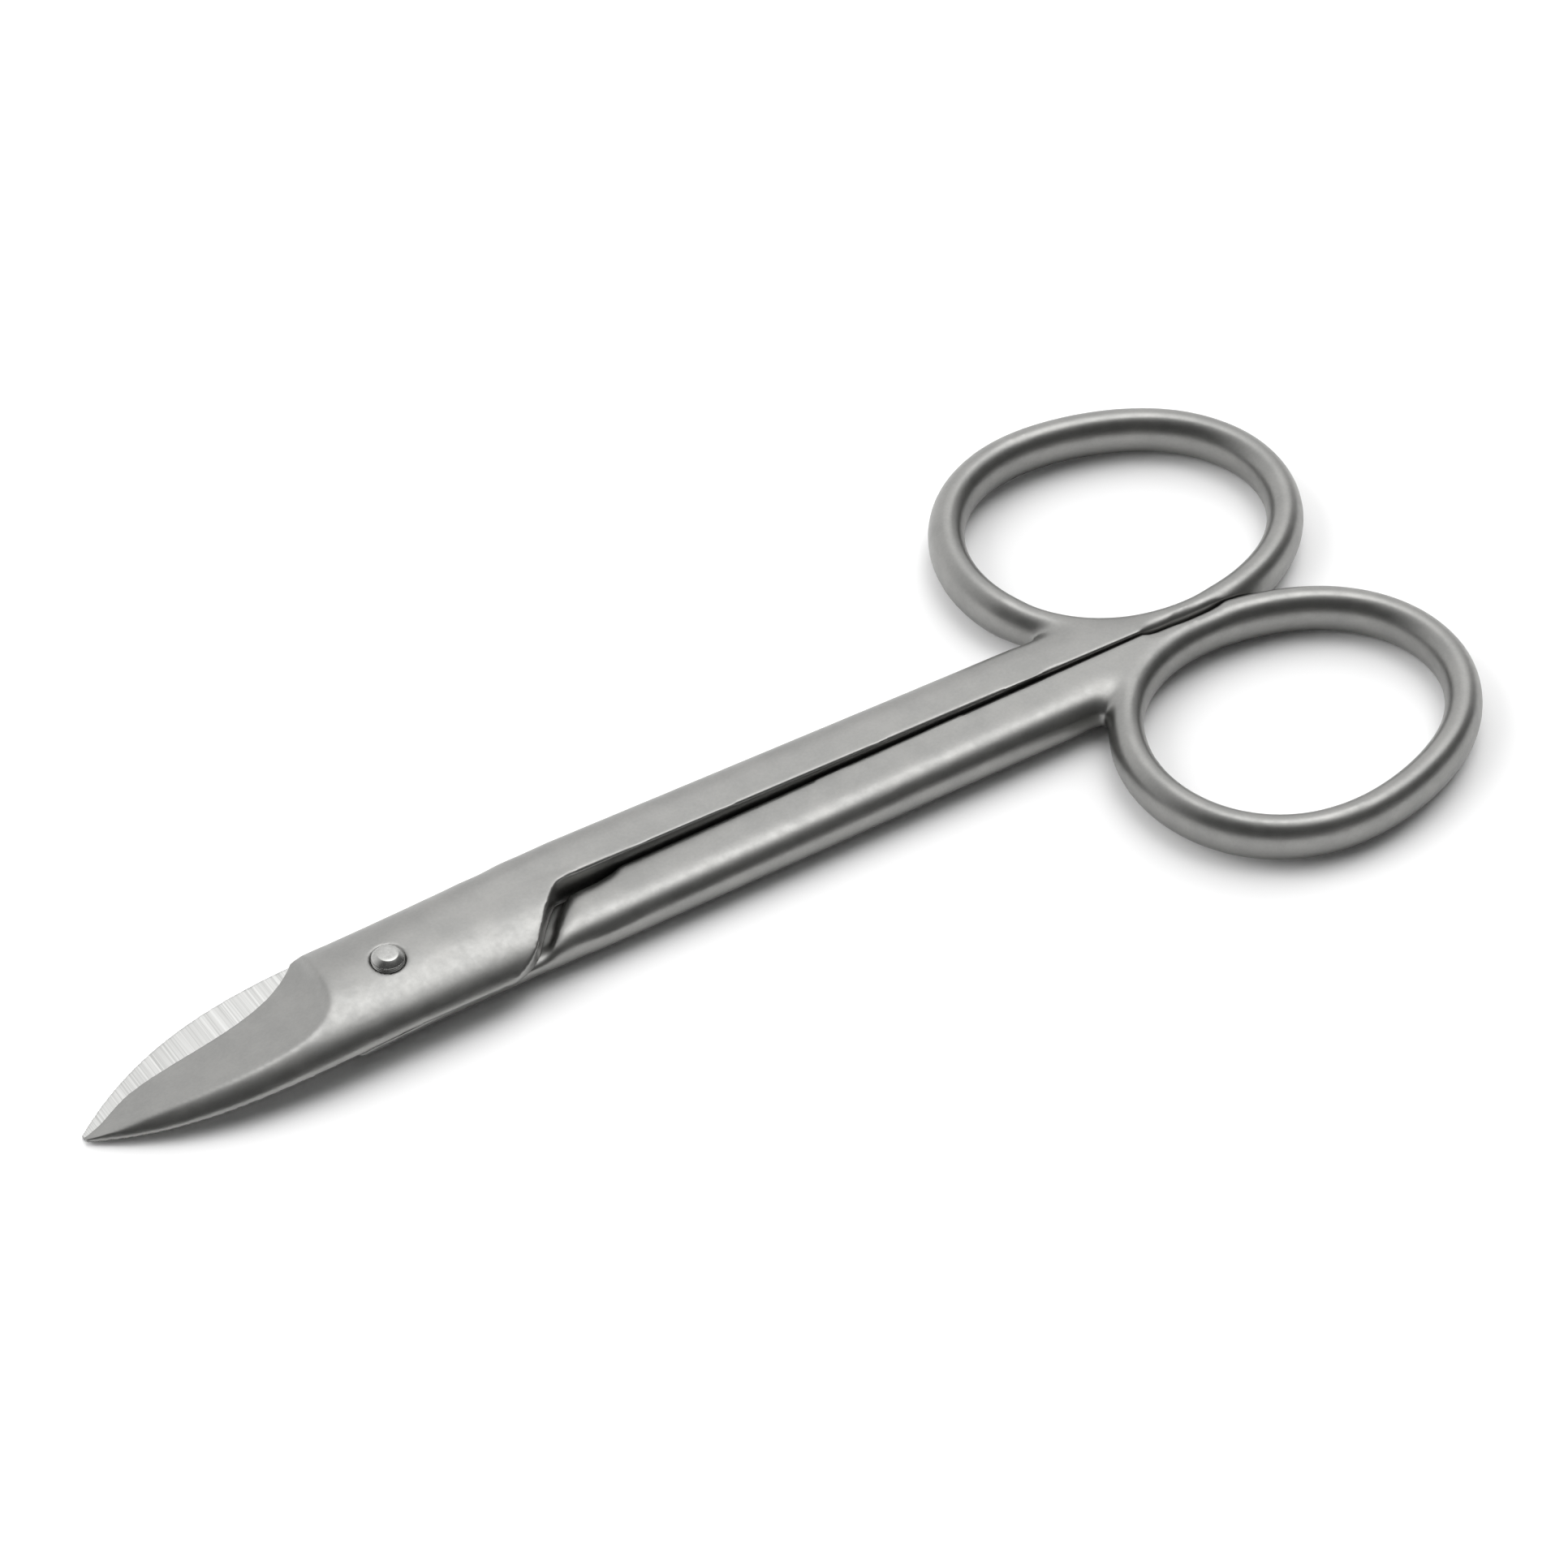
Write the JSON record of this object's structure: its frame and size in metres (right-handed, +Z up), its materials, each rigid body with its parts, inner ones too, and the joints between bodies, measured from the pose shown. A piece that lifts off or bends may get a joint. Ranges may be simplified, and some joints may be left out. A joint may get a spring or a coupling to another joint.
{
  "type": "nail scissors",
  "caption": "Long-handled satin steel toenail scissors with short broad bent-down blades, straight handles, egg-shaped finger rings and a screw hinge.",
  "frame": {"origin": "middle of the overall box at the surface that the closed scissors lie on", "axes": "+X from the blade tips towards the finger rings, +Z up, +Y towards the upper half's finger ring"},
  "size_m": [0.0998, 0.0448, 0.005],
  "materials": {
    "satin_steel": "satin, fine bead-blasted",
    "screw_steel": "bright turned"
  },
  "bodies": {
    "lower": {"lower_half": "satin_steel"},
    "upper": {"upper_half": "satin_steel", "pivot_screw": "screw_steel"}
  },
  "joints": [
    {"name": "hinge", "type": "hinge", "parent": "lower", "child": "upper", "pos_m": [-0.02743, 0, 0.00235], "axis": [0.0078, 0, 1], "range_deg": [0, 45]}
  ]
}
